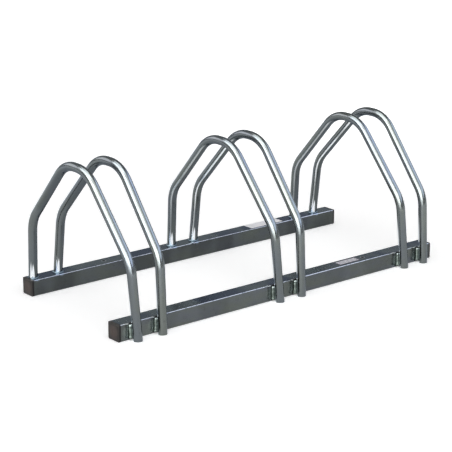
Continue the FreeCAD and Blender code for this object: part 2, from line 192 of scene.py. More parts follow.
class Nodes:
    """The nodes of a material or a world: one shader, and one method that adds any other node."""

    def __init__(self, owner, shader, **constants):
        owner.use_nodes = True
        self.tree = owner.node_tree
        self.shader = self.tree.nodes[shader]
        self.set(**constants)

    def set(self, **items):
        """Feeds the shader's own sockets."""
        for socket, item in items.items():
            self.feed(self.shader.inputs[socket.replace("_", " ")], item)

    def feed(self, socket, item):
        """Puts a number, a colour or a signal into a socket."""
        if isinstance(item, Signal):
            self.tree.links.new(item.socket, socket)
        elif socket.type == "RGBA":
            socket.default_value = (*item, 1.0)
        else:
            socket.default_value = item

    def node(self, kind, settings=None, inputs=None, output=0):
        """Adds a node of any kind, and returns one of its outputs."""
        made = self.tree.nodes.new(kind)
        for name, setting in (settings or {}).items():
            setattr(made, name, setting)
        for name, item in (inputs or {}).items():
            self.feed(made.inputs[name], item)
        return Signal(self, made.outputs[output])

    def maths(self, operation, first, second=0.0):
        """A sum on one or two numbers."""
        return self.node("ShaderNodeMath", {"operation": operation}, {0: first, 1: second})

    def vector_maths(self, operation, first, second, output=0):
        """A sum on two vectors."""
        settings = {"operation": operation}
        return self.node("ShaderNodeVectorMath", settings, {0: first, 1: second}, output)

    def here(self):
        """The place on the piece, in metres."""
        return self.node("ShaderNodeTexCoord", output="Object")

    def attribute(self, name):
        """A vector that the piece's own mesh holds at each point."""
        return self.node("ShaderNodeAttribute", {"attribute_name": name}, output="Vector")

    def parts(self, vector):
        """The three numbers of a vector."""
        split = self.node("ShaderNodeSeparateXYZ", inputs={0: vector}).socket.node
        return [Signal(self, socket) for socket in split.outputs]

    def stretched(self, vector, scale):
        """The vector with each of its numbers multiplied."""
        return self.vector_maths("MULTIPLY", vector, scale)

    def distance(self, first, second):
        """How far apart two places are, in metres."""
        return self.vector_maths("DISTANCE", first, second, "Value")

    def noise(self, vector, size, detail=2.0, roughness=0.5):
        """Soft noise from 0 to 1, with blotches of about the given size in metres."""
        inputs = {"Vector": vector, "Scale": 1 / size, "Detail": detail, "Roughness": roughness}
        return self.node("ShaderNodeTexNoise", inputs=inputs)

    def between(self, signal, low, high, out_low=0.0, out_high=1.0):
        """A smooth step from out_low, where the signal is low, to out_high."""
        inputs = {0: signal, 1: low, 2: high, 3: out_low, 4: out_high}
        return self.node("ShaderNodeMapRange", {"interpolation_type": "SMOOTHSTEP"}, inputs)

    def band(self, signal, low, high, edge):
        """1 where the signal lies from low to high and 0 elsewhere, with soft edges."""
        above = self.between(signal, low - edge, low + edge)
        return above * self.between(signal, high + edge, high - edge)

    def blend(self, share, first, second):
        """The first colour where share is 0, and the second where it is 1."""
        # A Mix node's sockets for numbers and colours share their names, so these go by place.
        inputs = {0: share, 6: first, 7: second}
        return self.node("ShaderNodeMix", {"data_type": "RGBA"}, inputs, 2)

    def bump(self, height, depth):
        """A normal that follows a height from 0 to 1 over a depth in metres."""
        inputs = {"Height": height, "Distance": depth, "Strength": 1.0}
        return self.node("ShaderNodeBump", inputs=inputs)


class Finish(Nodes):
    """A material with one Principled shader."""

    def __init__(self, name, **constants):
        self.material = bpy.data.materials.new(name)
        super().__init__(self.material, "Principled BSDF", **constants)


print("The shader helpers are ready")

# %% [markdown]
# ## Zinc plating
#
# Bright zinc is a thin layer of metal over drawn steel. It mirrors the room, a little blurred by
# the fine lines that drawing left along the tube, and its passivation gives it a faint blue and
# green cloudiness. Where fingers, water and the floor touched it, it is a shade duller. So the
# colour is two greys mixed by a cloud, the roughness follows the drawn lines and the dull marks,
# and a very shallow bump keeps the mirror image from being perfect. Each kind of tube then adds
# its own marks, and some of them are painted light: on a round tube, painted shade inside the
# bends and painted highlights and reflections; on a square one, worn corners that carry a painted
# highlight, painted shade in blotches, and painted reflections.

# %% Zinc plating
def zinc(name, along, cool, warm, dull, own_marks):
    """Plated steel. along gives the place on the piece with its length along X, in metres."""
    finish = Finish(name, Metallic=1.0, Specular_Tint=(0.62, 0.66, 0.72))
    place = along(finish)
    drawn = finish.noise(finish.stretched(place, (0.02, 1.0, 1.0)), 0.5 * MM, detail=3.0)
    cloud = finish.noise(finish.stretched(place, (0.35, 1.0, 1.0)), 22 * MM, detail=3.0)
    marks = finish.noise(place, 9 * MM, detail=5.0, roughness=0.65)
    marks = finish.between(marks, 0.52, 0.72)
    specks = finish.between(finish.noise(place, 0.9 * MM), 0.68, 0.78)
    colour = finish.blend(finish.between(cloud, 0.35, 0.65), cool, warm)
    colour = finish.blend(marks * 0.30, colour, dull)
    colour = finish.blend(specks * 0.35, colour, dull)
    colour = own_marks(finish, place, colour)
    rough = 0.15 + drawn * 0.10 + marks * 0.10 + specks * 0.10
    finish.set(Base_Color=colour, Roughness=rough, Normal=finish.bump(drawn, 0.004 * MM))
    return finish.material


print("The zinc recipe is ready")


# %% Round tube: painted shade, a painted highlight line, and painted reflections above the rear feet
HOOP_OFFSET = 0.9  # metres between two hoops on the straightened tube, so that no two look alike
PAINTED_HIGHLIGHT_COLOUR = (0.88, 0.92, 0.94)

# A side of the tube is how much it faces the inside of the bends, and how much the right.
HIGHLIGHT_LINE_SIDE = (0.56, -0.83)
FRONT_HIGHLIGHT_SIDE = (0.31, -0.95)

# Each painted reflection is a bright flame above a rear foot: its side, how far out it starts, and
# its tip's height.
REFLECTION_FLAMES = (((0.50, -0.86), 7.70 * MM, 60 * MM), ((0.85, -0.53), 7.55 * MM, 54 * MM))


def tube_marks(finish, place, colour):
    """Painted shade inside the bends, and painted highlights, sheen and reflections along the tube.
    """
    along, across, inward = finish.parts(place)
    x, y, z = finish.parts(finish.here())

    def out_towards(side):
        """How far out from the tube's middle line a point lies, measured towards one side."""
        return inward * side[0] + across * side[1]

    # Painted shade darkens the side of the tube that faces the inside of the bends.
    inside = finish.between(inward, -4 * MM, 7 * MM)
    colour = finish.blend(inside * 0.55, colour, (0.05, 0.06, 0.07))

    # A painted highlight line runs along the tube, broken up by noise. It fades to the left, low
    # down and at the crests, and it is fainter on the left hoop of a pair, which is the first half
    # of a double offset.
    highlight_line_side = out_towards(HIGHLIGHT_LINE_SIDE)
    line_gaps = finish.noise(finish.stretched(place, (1.0, 0.0, 0.0)), 90 * MM)
    hand = finish.maths("FRACT", along / (2 * HOOP_OFFSET))
    painted_highlight_line = finish.between(highlight_line_side, 7.76 * MM, 7.97 * MM) * finish.between(line_gaps, 0.25, 0.50)
    painted_highlight_line = painted_highlight_line * finish.between(x, -0.22, -0.12) * finish.between(z, 0.07, 0.15, 0.35, 1.0)
    painted_highlight_line = painted_highlight_line * finish.between(z, 0.250, 0.236) * finish.between(hand, 0.45, 0.50, 0.45, 1.0)
    colour = finish.blend(painted_highlight_line, colour, PAINTED_HIGHLIGHT_COLOUR)

    # A painted highlight lies along one side of each front leg, fading out from 45 to 100 mm up.
    painted_front_highlight = finish.between(out_towards(FRONT_HIGHLIGHT_SIDE), 7.72 * MM, 7.95 * MM)
    painted_front_highlight = painted_front_highlight * finish.between(y, -0.12, -0.14) * finish.between(z, 0.100, 0.045)
    colour = finish.blend(painted_front_highlight * 0.8, colour, PAINTED_HIGHLIGHT_COLOUR)

    rear_leg = finish.between(y, 0.10, 0.12)
    # A faint painted sheen lightens one side of the rear legs at the rack's left end.
    painted_sheen = finish.between(highlight_line_side, 5.0 * MM, 7.9 * MM) * finish.between(x, -0.12, -0.22)
    colour = finish.blend(painted_sheen * rear_leg * 0.05, colour, (0.84, 0.90, 0.86))
    # Painted reflections: bright flames that rise from the rail up the rear legs.
    for side, start, tip in REFLECTION_FLAMES:
        slope = (TUBE_RADIUS - start) / (tip - RAIL_TOP)
        level = start - RAIL_TOP * slope
        above = out_towards(side) - z * slope
        painted_reflection_flame = finish.between(above, level - 0.10 * MM, level + 0.06 * MM)
        colour = finish.blend(painted_reflection_flame * rear_leg, colour, (0.84, 0.88, 0.92))
    return colour


tube_zinc = zinc(
    "tube_zinc",
    lambda finish: finish.attribute("straightened"),
    cool=(0.136, 0.152, 0.163),
    warm=(0.146, 0.161, 0.152),
    dull=(0.095, 0.100, 0.100),
    own_marks=tube_marks,
)
print("Made", tube_zinc.name)


# %% Square tube: worn corners with a painted highlight, a painted reflection on top, painted reflections at the feet
HOLE_FROM_MIDDLE = 188.5 * MM


def rail_marks(rail_name, darkest, hole_x, feet, radius, reflection_colour):
    """One rail's marks: how dark its blotches of painted shade get, and painted reflections within
    a radius of feet.

    A painted highlight rings the drilled fixing hole.
    """
    low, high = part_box(rail_name)
    half = high.z / 2
    middle_y = (low.y + high.y) / 2

    def own_marks(finish, place, colour):
        here = finish.here()
        _, y, z = finish.parts(here)
        # Blotches of painted shade darken the rail, as far as the share darkest.
        shade = finish.noise(finish.stretched(place, (1.0, 0.4, 0.4)), 80 * MM)
        shade = finish.between(shade, 0.42, 0.60)
        colour = finish.blend(shade * darkest, colour, (0.035, 0.038, 0.042))

        # The top is painted darker and bluer in patches: a painted reflection of the room above it.
        top_reflection_patches = finish.noise(finish.stretched(place, (1.0, 0.6, 1.0)), 55 * MM)
        top_reflection_patches = finish.between(top_reflection_patches, 0.42, 0.58)
        painted_top_reflection = finish.blend(top_reflection_patches, (0.056, 0.074, 0.112), (0.150, 0.178, 0.176))
        top = finish.between(z, high.z - 1.0 * MM, high.z - 0.1 * MM)
        colour = finish.blend(top * 0.75, colour, painted_top_reflection)

        # The long edges are lighter in patches: partly wear, and partly a painted highlight on the
        # rims.
        off_middle = finish.maths("ABSOLUTE", y - middle_y)
        off_height = finish.maths("ABSOLUTE", z - half)
        corner = finish.maths("MINIMUM", off_middle, off_height)
        edge_wear_and_highlight = finish.between(corner, half - 1.7 * MM, half - 1.1 * MM)
        edge_wear_and_highlight = edge_wear_and_highlight * finish.between(finish.noise(place, 8 * MM, detail=3.0), 0.25, 0.5)
        colour = finish.blend(edge_wear_and_highlight * 0.42, colour, (0.47, 0.46, 0.45))

        # A bright ring on the top round the fixing hole: a painted highlight on the drilled rim.
        from_hole = finish.distance(here, (hole_x, middle_y, high.z))
        hole_rim_highlight = finish.between(from_hole, 4.6 * MM, 4.0 * MM)
        hole_rim_highlight = hole_rim_highlight * finish.between(z, high.z - 0.5 * MM, high.z - 0.1 * MM)
        colour = finish.blend(hole_rim_highlight * 0.8, colour, (0.72, 0.74, 0.76))

        # Near each foot the zinc is painted lighter: painted reflections of the bright legs and
        # welds.
        for foot in feet:
            beside = finish.between(finish.distance(here, foot), radius, radius / 2)
            colour = finish.blend(beside * 0.7, colour, reflection_colour)
        return colour

    return own_marks


def beside_welds(weld, offset):
    """A place near each weld of one kind, on the side that the photo shows."""
    boxes = [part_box(f"place_{place}_{hand}_{weld}") for place, hand in PLACES]
    return [(low + high) / 2 + Vector(offset) * MM for low, high in boxes]


front_zinc = zinc(
    "front_rail_zinc",
    Finish.here,
    cool=(0.110, 0.121, 0.132),
    warm=(0.112, 0.124, 0.116),
    dull=(0.075, 0.080, 0.080),
    own_marks=rail_marks(
        "front_rail",
        darkest=0.22,
        hole_x=HOLE_FROM_MIDDLE,
        feet=beside_welds("side_welds", (-12, 2, 0)),
        radius=13 * MM,
        reflection_colour=(0.17, 0.20, 0.185),
    ),
)
# The back rail's zinc is a darker copy of the front rail's: painted shade, for the shade that it
# mirrors.
back_zinc = zinc(
    "back_rail_zinc",
    Finish.here,
    cool=(0.080, 0.089, 0.098),
    warm=(0.082, 0.092, 0.087),
    dull=(0.050, 0.054, 0.054),
    own_marks=rail_marks(
        "back_rail",
        darkest=0.50,
        hole_x=-HOLE_FROM_MIDDLE,
        feet=beside_welds("foot_weld", (-2, -8, 0)),
        radius=10 * MM,
        reflection_colour=(0.30, 0.37, 0.44),
    ),
)
print("Made", front_zinc.name, "and", back_zinc.name)


# %% [markdown]
# ## Weld metal, moulded plastic and labels
#
# A weld bead is steel that froze in ripples and was then plated, so it is the same metal with a
# rougher skin. The end caps are polyethylene: nearly black, a little brown, with the fine spark
# texture of a mould. The labels are plain films with no text.

# %% Weld metal
def weld_metal(name, bright, dull):
    """Rippled, sooty weld metal, with a painted highlight at its upper end."""
    finish = Finish(name, Metallic=1.0)
    here = finish.here()
    grain = finish.noise(here, 1.2 * MM, detail=4.0, roughness=0.7)
    soot = finish.between(finish.noise(here, 4 * MM), 0.40, 0.65)
    sooty = finish.blend(soot, dull, tuple(0.6 * part for part in dull))
    height = finish.parts(here)[2]
    # The upper end takes the colour bright: on the side beads, a painted highlight just under the
    # rail's top.
    upper_end = finish.between(height, RAIL_TOP - 6.5 * MM, RAIL_TOP - 3.5 * MM)
    colour = finish.blend(upper_end, sooty, bright)
    finish.set(Base_Color=colour, Roughness=0.36 + grain * 0.28)
    finish.set(Normal=finish.bump(grain, 0.10 * MM))
    return finish.material


side_weld_zinc = weld_metal("side_weld_metal", (0.34, 0.38, 0.37), (0.150, 0.180, 0.163))
foot_weld_zinc = weld_metal("foot_weld_metal", (0.10, 0.13, 0.15), (0.10, 0.12, 0.13))
print("Made", side_weld_zinc.name, "and", foot_weld_zinc.name)


# %% Moulded plastic
def moulded_plastic():
    """Nearly black sides in painted shade, and a browner, scuffed outer face, lighter in its
    middle.
    """
    finish = Finish("cap_polyethylene", Specular_IOR_Level=0.25)
    place = finish.attribute("mould_place")
    spark = finish.noise(place, 0.35 * MM)
    scuffs = finish.between(finish.noise(place, 5 * MM, detail=5.0, roughness=0.7), 0.45, 0.75)
    outer = finish.between(finish.parts(place)[0], -2.8 * MM, -3.6 * MM)
    from_middle = finish.distance(place, (-FLANGE, 0, RAIL_TOP / 2))
    centre = finish.between(from_middle, 15 * MM, 6 * MM)
    face = finish.blend(centre, (0.022, 0.020, 0.018), (0.062, 0.043, 0.037))
    # All but the outer face is nearly black: painted shade on the flange's sides.
    colour = finish.blend(outer, (0.006, 0.006, 0.006), face)
    colour = finish.blend(scuffs * outer * 0.35, colour, (0.070, 0.058, 0.052))
    finish.set(Base_Color=colour, Roughness=0.40 + spark * 0.12 + scuffs * 0.12)
    finish.set(Normal=finish.bump(spark, 0.02 * MM))
    return finish.material


cap_plastic = moulded_plastic()
print("Made", cap_plastic.name)


# %% Label films
LABEL_EDGE = 0.15 * MM  # half the softness of a printed edge


def label_film(name, film, panel, node, margins, bars):
    """A film with a lighter panel on it, and plain bars across the panel."""
    finish = Finish(name, Specular_IOR_Level=0.5)
    here = finish.here()
    x, y, _ = finish.parts(here)
    low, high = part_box(node)
    left, bottom = low.x + margins[0], low.y + margins[1]
    right, top = high.x - margins[0], high.y - margins[1]
    mask = finish.band(x, left, right, LABEL_EDGE) * finish.band(y, bottom, top, LABEL_EDGE)
    for start, end in bars:
        bar_low = bottom + (top - bottom) * start
        bar_high = bottom + (top - bottom) * end
        mask = mask * (1 - finish.band(y, bar_low, bar_high, LABEL_EDGE))
    dust = finish.noise(here, 6 * MM, detail=4.0, roughness=0.6)
    colour = finish.blend(mask, film, panel)
    colour = finish.blend(finish.between(dust, 0.5, 0.8) * 0.25, colour, (0.35, 0.36, 0.38))
    wrinkle = finish.noise(finish.stretched(here, (1.0, 0.4, 1.0)), 9 * MM)
    finish.set(Base_Color=colour, Roughness=0.25 + dust * 0.15)
    finish.set(Normal=finish.bump(wrinkle, 0.05 * MM))
    return finish.material


white_film = label_film(
    "white_film",
    film=(0.84, 0.84, 0.88),
    panel=(0.90, 0.90, 0.94),
    node="back_label",
    margins=(2 * MM, 2 * MM),
    bars=(),
)
dark_film = label_film(
    "dark_film",
    film=(0.016, 0.022, 0.060),
    panel=(0.88, 0.86, 0.93),
    node="front_label",
    margins=(4 * MM, 3.5 * MM),
    bars=((0.22, 0.38), (0.62, 0.78)),
)
print("Made", white_film.name, "and", dark_film.name)

# %% Rails and labels keep their CAD shape
CAD_SHAPES = {
    "front_rail": front_zinc,
    "back_rail": back_zinc,
    "front_label": dark_film,
    "back_label": white_film,
}
for node, material in CAD_SHAPES.items():
    frame["nodes"][node].data.materials[0] = material
print("Kept the shapes of", ", ".join(CAD_SHAPES))

# %% [markdown]
# ## The bent tube
#
# Each hoop is one straight tube that a bender turned four times over the same former. It is made
# here in the same order: a circle is extruded along each straight and spun round each bend. Two
# shells, for the outside and the bore, are joined and cut off flat together, and a ring fills each
# cut end. Spinning gives even quads, so the mirror finish flows round the bends with no facets.

# %% The hoop's route
TUBE_WALL = 1.5 * MM
BEND_RADIUS = 62 * MM
REAR_LEAN = math.radians(5)
REAR_SLOPE = math.radians(47.5)
FRONT_SLOPE = math.radians(50.5)
FRONT_LEAN = math.radians(5)
SPLAY = math.radians(1.8)
CREST_SETBACK = 143.5 * MM
CREST_FLAT = 7.5 * MM
SPARE = 6 * MM  # a leg's extra length, which is cut off flat later
CREST_Y = front_low.y + CREST_SETBACK


def hoop_corners():
    """The corners of the hoop's route before rounding: (y, z), from rear foot to front foot."""
    low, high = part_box("place_1_left_hoop")
    top = (high.z - TUBE_RADIUS) / math.cos(SPLAY)
    rear_foot = (back_low.y + back_high.y) / 2 - CREST_Y
    front_foot = CREST_Y - (low.y + TUBE_RADIUS / math.cos(FRONT_LEAN))

    def side(foot, foot_z, lean, slope):
        """A corner's distances out from the crest and down from it: crest corner, then shoulder."""
        reach = CREST_FLAT / 2 + BEND_RADIUS * math.tan(slope / 2)
        across = (foot - reach) * math.cos(lean) - (top - foot_z) * math.sin(lean)
        length = across / math.cos(lean + slope)
        return (reach, 0.0), (reach + length * math.cos(slope), length * math.sin(slope))

    rear_crest, rear_shoulder = side(rear_foot, RAIL_TOP, REAR_LEAN, REAR_SLOPE)
    front_crest, front_shoulder = side(front_foot, 0.0, FRONT_LEAN, FRONT_SLOPE)
    return [
        Vector((0, rear_foot + SPARE * math.tan(REAR_LEAN), RAIL_TOP - SPARE)),
        Vector((0, rear_shoulder[0], top - rear_shoulder[1])),
        Vector((0, rear_crest[0], top)),
        Vector((0, -front_crest[0], top)),
        Vector((0, -front_shoulder[0], top - front_shoulder[1])),
        Vector((0, -front_foot - SPARE * math.tan(FRONT_LEAN), -SPARE)),
    ]


corners = hoop_corners()
headings = [(b - a).normalized() for a, b in zip(corners[:-1], corners[1:])]
turns = [a.angle(b) for a, b in zip(headings[:-1], headings[1:])]
print("The bends turn", [round(math.degrees(turn), 1) for turn in turns], "degrees")

# %% Extrude the straights and spin the bends
SIDES = 64
STEP_ANGLE = math.radians(2.5)


def bent_shell(radius):
    """An open shell along the route: a circle extruded on the straights and spun at the bends."""
    take_nothing()
    turn = headings[0].to_track_quat("Z", "Y").to_euler()
    bpy.ops.mesh.primitive_circle_add(
        vertices=SIDES, radius=radius, location=corners[0], rotation=turn
    )
    shell = bpy.context.object
    bpy.ops.object.transform_apply(location=True, rotation=True, scale=True)
    bpy.ops.object.mode_set(mode="EDIT")
    bpy.ops.mesh.select_all(action="SELECT")
    here = corners[0].copy()
    for leg, heading in enumerate(headings):
        last = leg == len(turns)
        trim = 0.0 if last else BEND_RADIUS * math.tan(turns[leg] / 2)
        end = corners[leg + 1] - heading * trim
        bpy.ops.mesh.extrude_region_move(TRANSFORM_OT_translate={"value": end - here})
        if last:
            break
        inward = Vector((1, 0, 0)).cross(heading)
        centre = end + inward * BEND_RADIUS
        steps = max(4, round(turns[leg] / STEP_ANGLE))
        bpy.ops.mesh.spin(steps=steps, angle=-turns[leg], center=centre, axis=(1, 0, 0))
        here = corners[leg + 1] + headings[leg + 1] * trim
    take_nothing()
    return shell


outside = bent_shell(TUBE_RADIUS)
bore = bent_shell(TUBE_RADIUS - TUBE_WALL)
print("Each shell has", len(outside.data.vertices), "points")

# %% [markdown]
# ## Where the finish lies on the tube
#
# Drawn lines run along the tube and follow it round its bends. So each point of the mesh keeps a
# second place: where it would be if the tube was pulled straight, with its length along X. The
# zinc finish reads that place instead of the real one.

# %% The straightened place of each point
ARC_STEPS = 60


def route_points():
    """Points along the rounded route, less than a millimetre apart on its bends."""
    points = [corners[0]]
    for turn, corner, heading in zip(turns, corners[1:-1], headings[:-1]):
        start = corner - heading * (BEND_RADIUS * math.tan(turn / 2))
        centre = start + Vector((1, 0, 0)).cross(heading) * BEND_RADIUS
        for step in range(ARC_STEPS + 1):
            spin = Matrix.Rotation(turn * step / ARC_STEPS, 3, "X")
            points.append(centre + spin @ (start - centre))
    return np.array(points + [corners[-1]])


ROUTE = route_points()
ROUTE_STEPS = np.diff(ROUTE, axis=0)
ROUTE_LENGTHS = np.linalg.norm(ROUTE_STEPS, axis=1)
ROUTE_STARTS = np.concatenate([[0.0], np.cumsum(ROUTE_LENGTHS)])[:-1]


def straightened(points):
    """For points near the route: the length along it, and the place across it."""
    away = points[:, None] - ROUTE[None, :-1]
    share = (away * ROUTE_STEPS).sum(2) / ROUTE_LENGTHS**2
    share = np.clip(share, 0.0, 1.0)
    miss = away - share[..., None] * ROUTE_STEPS
    nearest = np.linalg.norm(miss, axis=2).argmin(1)
    rows = np.arange(len(points))
    along = ROUTE_STARTS[nearest] + share[rows, nearest] * ROUTE_LENGTHS[nearest]
    heading = ROUTE_STEPS[nearest] / ROUTE_LENGTHS[nearest, None]
    inward = np.cross([1.0, 0.0, 0.0], heading)
    across = (miss[rows, nearest] * inward).sum(1)
    return np.stack([along, points[:, 0], across], axis=1)


print("The tube is", round(1000 * ROUTE_LENGTHS.sum()), "mm long with its spare ends")

# %% Join, place and cut the six hoops
take(outside, bore)
bpy.ops.object.join()
hoop_master = outside


def remember_straight(piece, length_offset):
    """Stores the straightened place of every point of a hoop that still stands at its route."""
    places = np.array([vertex.co for vertex in piece.data.vertices])
    flat = straightened(places)
    flat[:, 0] += length_offset
    stored = piece.data.attributes.new("straightened", "FLOAT_VECTOR", "POINT")
    stored.data.foreach_set("vector", flat.astype(np.float32).ravel())


def cut_end(piece, height, at_back):
    """Cuts one leg off flat at a height, and closes the wall there with a ring."""
    sign = 1 if at_back else -1
    pick(piece, "FACE", lambda face: sign * (middle(face).y - CREST_Y) > 0)
    bpy.ops.mesh.bisect(
        plane_co=(0, 0, height), plane_no=(0, 0, 1), clear_inner=True, use_fill=False
    )
    pick(piece, "EDGE", lambda edge: edge.is_boundary and abs(middle(edge).z - height) < NEAR)
    bpy.ops.mesh.fill(use_beauty=True)


def stand_of(place, hand):
    """Where a hoop meets the floor along X, and the side to which it leans: -1 is left."""
    low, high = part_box(f"place_{place}_{hand}_hoop")
    half_width = TUBE_RADIUS / math.cos(SPLAY)
    if hand == "left":
        return high.x - half_width, -1
    return low.x + half_width, 1


def make_hoop(place, hand):
    """One hoop, leaning out from the middle of its pair."""
    node = f"place_{place}_{hand}_hoop"
    foot_x, side = stand_of(place, hand)
    take(hoop_master)
    bpy.ops.object.duplicate()
    hoop = bpy.context.object
    remember_straight(hoop, HOOP_OFFSET * (2 * place + max(side, 0)))
    lean = Matrix.Rotation(side * SPLAY, 4, "Y")
    hoop.data.transform(Matrix.Translation((foot_x, CREST_Y, 0)) @ lean)
    edit(hoop)
    cut_end(hoop, RAIL_TOP, True)
    cut_end(hoop, 0.0, False)
    bpy.ops.mesh.select_all(action="SELECT")
    bpy.ops.mesh.normals_make_consistent(inside=False)
    take(hoop)
    bpy.ops.object.shade_smooth_by_angle(angle=math.radians(40))
    return finish_piece(hoop, f"{node}_tube", tube_zinc, "hoop_steel", node)


hoops = [make_hoop(place, hand) for place, hand in PLACES]
take(hoop_master)
bpy.ops.object.delete()
print("Made", len(hoops), "hoops of", len(hoops[0].data.vertices), "points each")

# %% [markdown]
# ## Weld beads
#
# A welder moves in small steps, so a bead is a row of overlapping drops. It is made the same way:
# small spheres are laid along the joint, each a little different, then melted into one skin by a
# voxel remesh. What would lie inside the tube or the rail is cut away.

# %% Drops melted into a bead
VOXEL = 0.35 * MM
CUT_RADIUS = TUBE_RADIUS + 0.05 * MM
CUT_LENGTH = 60 * MM
CUT_BLOCK = 80 * MM


def lay_bead(drops):
    """Melts drops, given as (place, radii), into one smooth bead."""
    made = []
    for place, radii in drops:
        take_nothing()
        bpy.ops.mesh.primitive_uv_sphere_add(
            segments=20, ring_count=12, radius=1.0, location=place, scale=radii
        )
        made.append(bpy.context.object)
    take(*made)
    bpy.ops.object.join()
    bead = bpy.context.object
    bpy.ops.object.transform_apply(location=True, rotation=True, scale=True)
    melt = bead.modifiers.new("melt", "REMESH")
    melt.mode = "VOXEL"
    melt.voxel_size = VOXEL
    bpy.ops.object.modifier_apply(modifier="melt")
    soften = bead.modifiers.new("soften", "SMOOTH")
    soften.factor = 0.5
    soften.iterations = 2
    bpy.ops.object.modifier_apply(modifier="soften")
    return bead


def rod_along(foot, up):
    """A plain rod that starts below a foot and follows a leg. It is only a cutter."""
    take_nothing()
    turn = up.to_track_quat("Z", "Y").to_euler()
    centre = foot + up * 15 * MM
    bpy.ops.mesh.primitive_cylinder_add(
        vertices=SIDES, radius=CUT_RADIUS, depth=CUT_LENGTH, location=centre, rotation=turn
    )
    return bpy.context.object


def keep_largest_island(piece):
    """Deletes every island of the mesh but the largest. The piece is in edit mode."""
    mesh = bmesh.from_edit_mesh(piece.data)
    unseen = set(mesh.verts)
    islands = []
    while unseen:
        island, front = set(), [next(vertex for vertex in mesh.verts if vertex in unseen)]
        while front:
            vertex = front.pop()
            if vertex in unseen:
                unseen.discard(vertex)
                island.add(vertex)
                front += [edge.other_vert(vertex) for edge in vertex.link_edges]
        islands.append(island)
    largest = max(islands, key=len)
    if pick(piece, "VERT", lambda vertex: vertex not in largest):
        bpy.ops.mesh.delete(type="VERT")


def block_behind(place, normal):
    """A plain block whose face lies at a place. It stands for the rail and is only a cutter."""
    take_nothing()
    bpy.ops.mesh.primitive_cube_add(size=CUT_BLOCK, location=place - normal * CUT_BLOCK / 2)
    return bpy.context.object


def trim_bead(bead, *cutters):
    """Cuts away what would lie inside the tube and the rail."""
    for cutter in cutters:
        take(bead)
        cut = bead.modifiers.new("cut", "BOOLEAN")
        cut.operation = "DIFFERENCE"
        cut.solver = "MANIFOLD"
        cut.object = cutter
        bpy.ops.object.modifier_apply(modifier="cut")
        take(cutter)
        bpy.ops.object.delete()
    edit(bead, "VERT")
    bpy.ops.mesh.select_all(action="SELECT")
    bpy.ops.mesh.remove_doubles(threshold=0.004 * MM)
    bpy.ops.mesh.dissolve_degenerate(threshold=0.002 * MM)
    keep_largest_island(bead)
    take(bead)


print("A bead is remeshed with voxels of", round(VOXEL / MM, 2), "mm")

# %% Beads at the feet and beside the legs
chance = random.Random(11)
RAIL_FACE = front_low.y
FOOT_Y = (back_low.y + back_high.y) / 2
FOOT_DROPS = 30
FOOT_LIFT = 0.013 * MM  # the cut under a foot bead lies a hair above the rail
SIDE_DROPS = 15
SIDE_INSET = 2.2 * MM  # from the ends of a side bead to its outermost drops
BEAD_CREASE = math.radians(50)


def vary(least, spread):
    """A size in metres, drawn at random from least to least + spread, both in millimetres."""
    return (least + spread * chance.random()) * MM


def foot_weld(place, hand):
    """A ring of drops where a rear foot stands on the back rail."""
    node = f"place_{place}_{hand}_foot_weld"
    foot_x, side = stand_of(place, hand)
    centre = Vector((foot_x + side * RAIL_TOP * math.tan(SPLAY), FOOT_Y, RAIL_TOP))
    low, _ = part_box(node)
    drops = []
    for number in range(FOOT_DROPS):
        angle = math.tau * (number + 0.5 * chance.random()) / FOOT_DROPS
        size = vary(1.70, 0.40)
        ring = TUBE_RADIUS + vary(0.1, 0.3)
        spot = centre + Vector((math.cos(angle), math.sin(angle), 0)) * ring
        spot.x = max(spot.x, low.x + size)
        drops.append((spot, (size, size, 1.1 * size)))
    bead = lay_bead(drops)
    up = Vector((side * math.tan(SPLAY), -math.tan(REAR_LEAN), 1)).normalized()
    cut_from = centre + Vector((0, 0, FOOT_LIFT))
    trim_bead(bead, rod_along(centre, up), block_behind(cut_from, Vector((0, 0, 1))))
    bpy.ops.object.shade_smooth_by_angle(angle=BEAD_CREASE)
    return finish_piece(bead, f"{node}_bead", foot_weld_zinc, "weld_bead", node)


def side_welds(place, hand):
    """Two upright rows of drops where a front leg meets the face of the front rail."""
    node = f"place_{place}_{hand}_side_welds"
    foot_x, side = stand_of(place, hand)
    low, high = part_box(node)
    up = Vector((side * math.tan(SPLAY), math.tan(FRONT_LEAN), 1)).normalized()
    foot = Vector((foot_x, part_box(f"place_{place}_{hand}_hoop")[0].y, 0))
    foot.y += TUBE_RADIUS / math.cos(FRONT_LEAN)
    face = Vector((foot_x, RAIL_FACE, RAIL_TOP / 2))
    beads = []
    for hand_x in (-1, 1):
        drops = []
        for number in range(SIDE_DROPS):
            share = number / (SIDE_DROPS - 1)
            height = low.z + SIDE_INSET + share * (high.z - low.z - 2 * SIDE_INSET)
            size = vary(3.2 - 0.7 * share, 0.5)
            if number == 0:
                size *= 1.15
            across = foot_x + height * side * math.tan(SPLAY)
            across += hand_x * vary(6.2, 0.5)
            depth = RAIL_FACE - (1.7 - 0.7 * share) * MM
            spot = Vector((across, depth, height))
            drops.append((spot, (1.2 * size, 0.78 * size, 0.8 * size)))
        beads.append(lay_bead(drops))
        trim_bead(beads[-1], rod_along(foot, up), block_behind(face, Vector((0, -1, 0))))
    take(*beads)
    bpy.ops.object.join()
    bpy.ops.object.shade_smooth_by_angle(angle=BEAD_CREASE)
    return finish_piece(bpy.context.object, f"{node}_beads", side_weld_zinc, "weld_bead", node)


welds = []
for place, hand in PLACES:
    welds += [foot_weld(place, hand), side_welds(place, hand)]
print("Made", len(welds), "welds")

# %% [markdown]
# ## End caps
#
# Each cap is one moulding: a flange as large as the rail, with a framed and crowned panel on its
# face, and a hollow plug with soft fins that grip inside the rail. It starts as a block for the
# flange, whose inner face is extruded again and again into the plug. One cap is modelled and the
# others are copies, each with its own mesh.

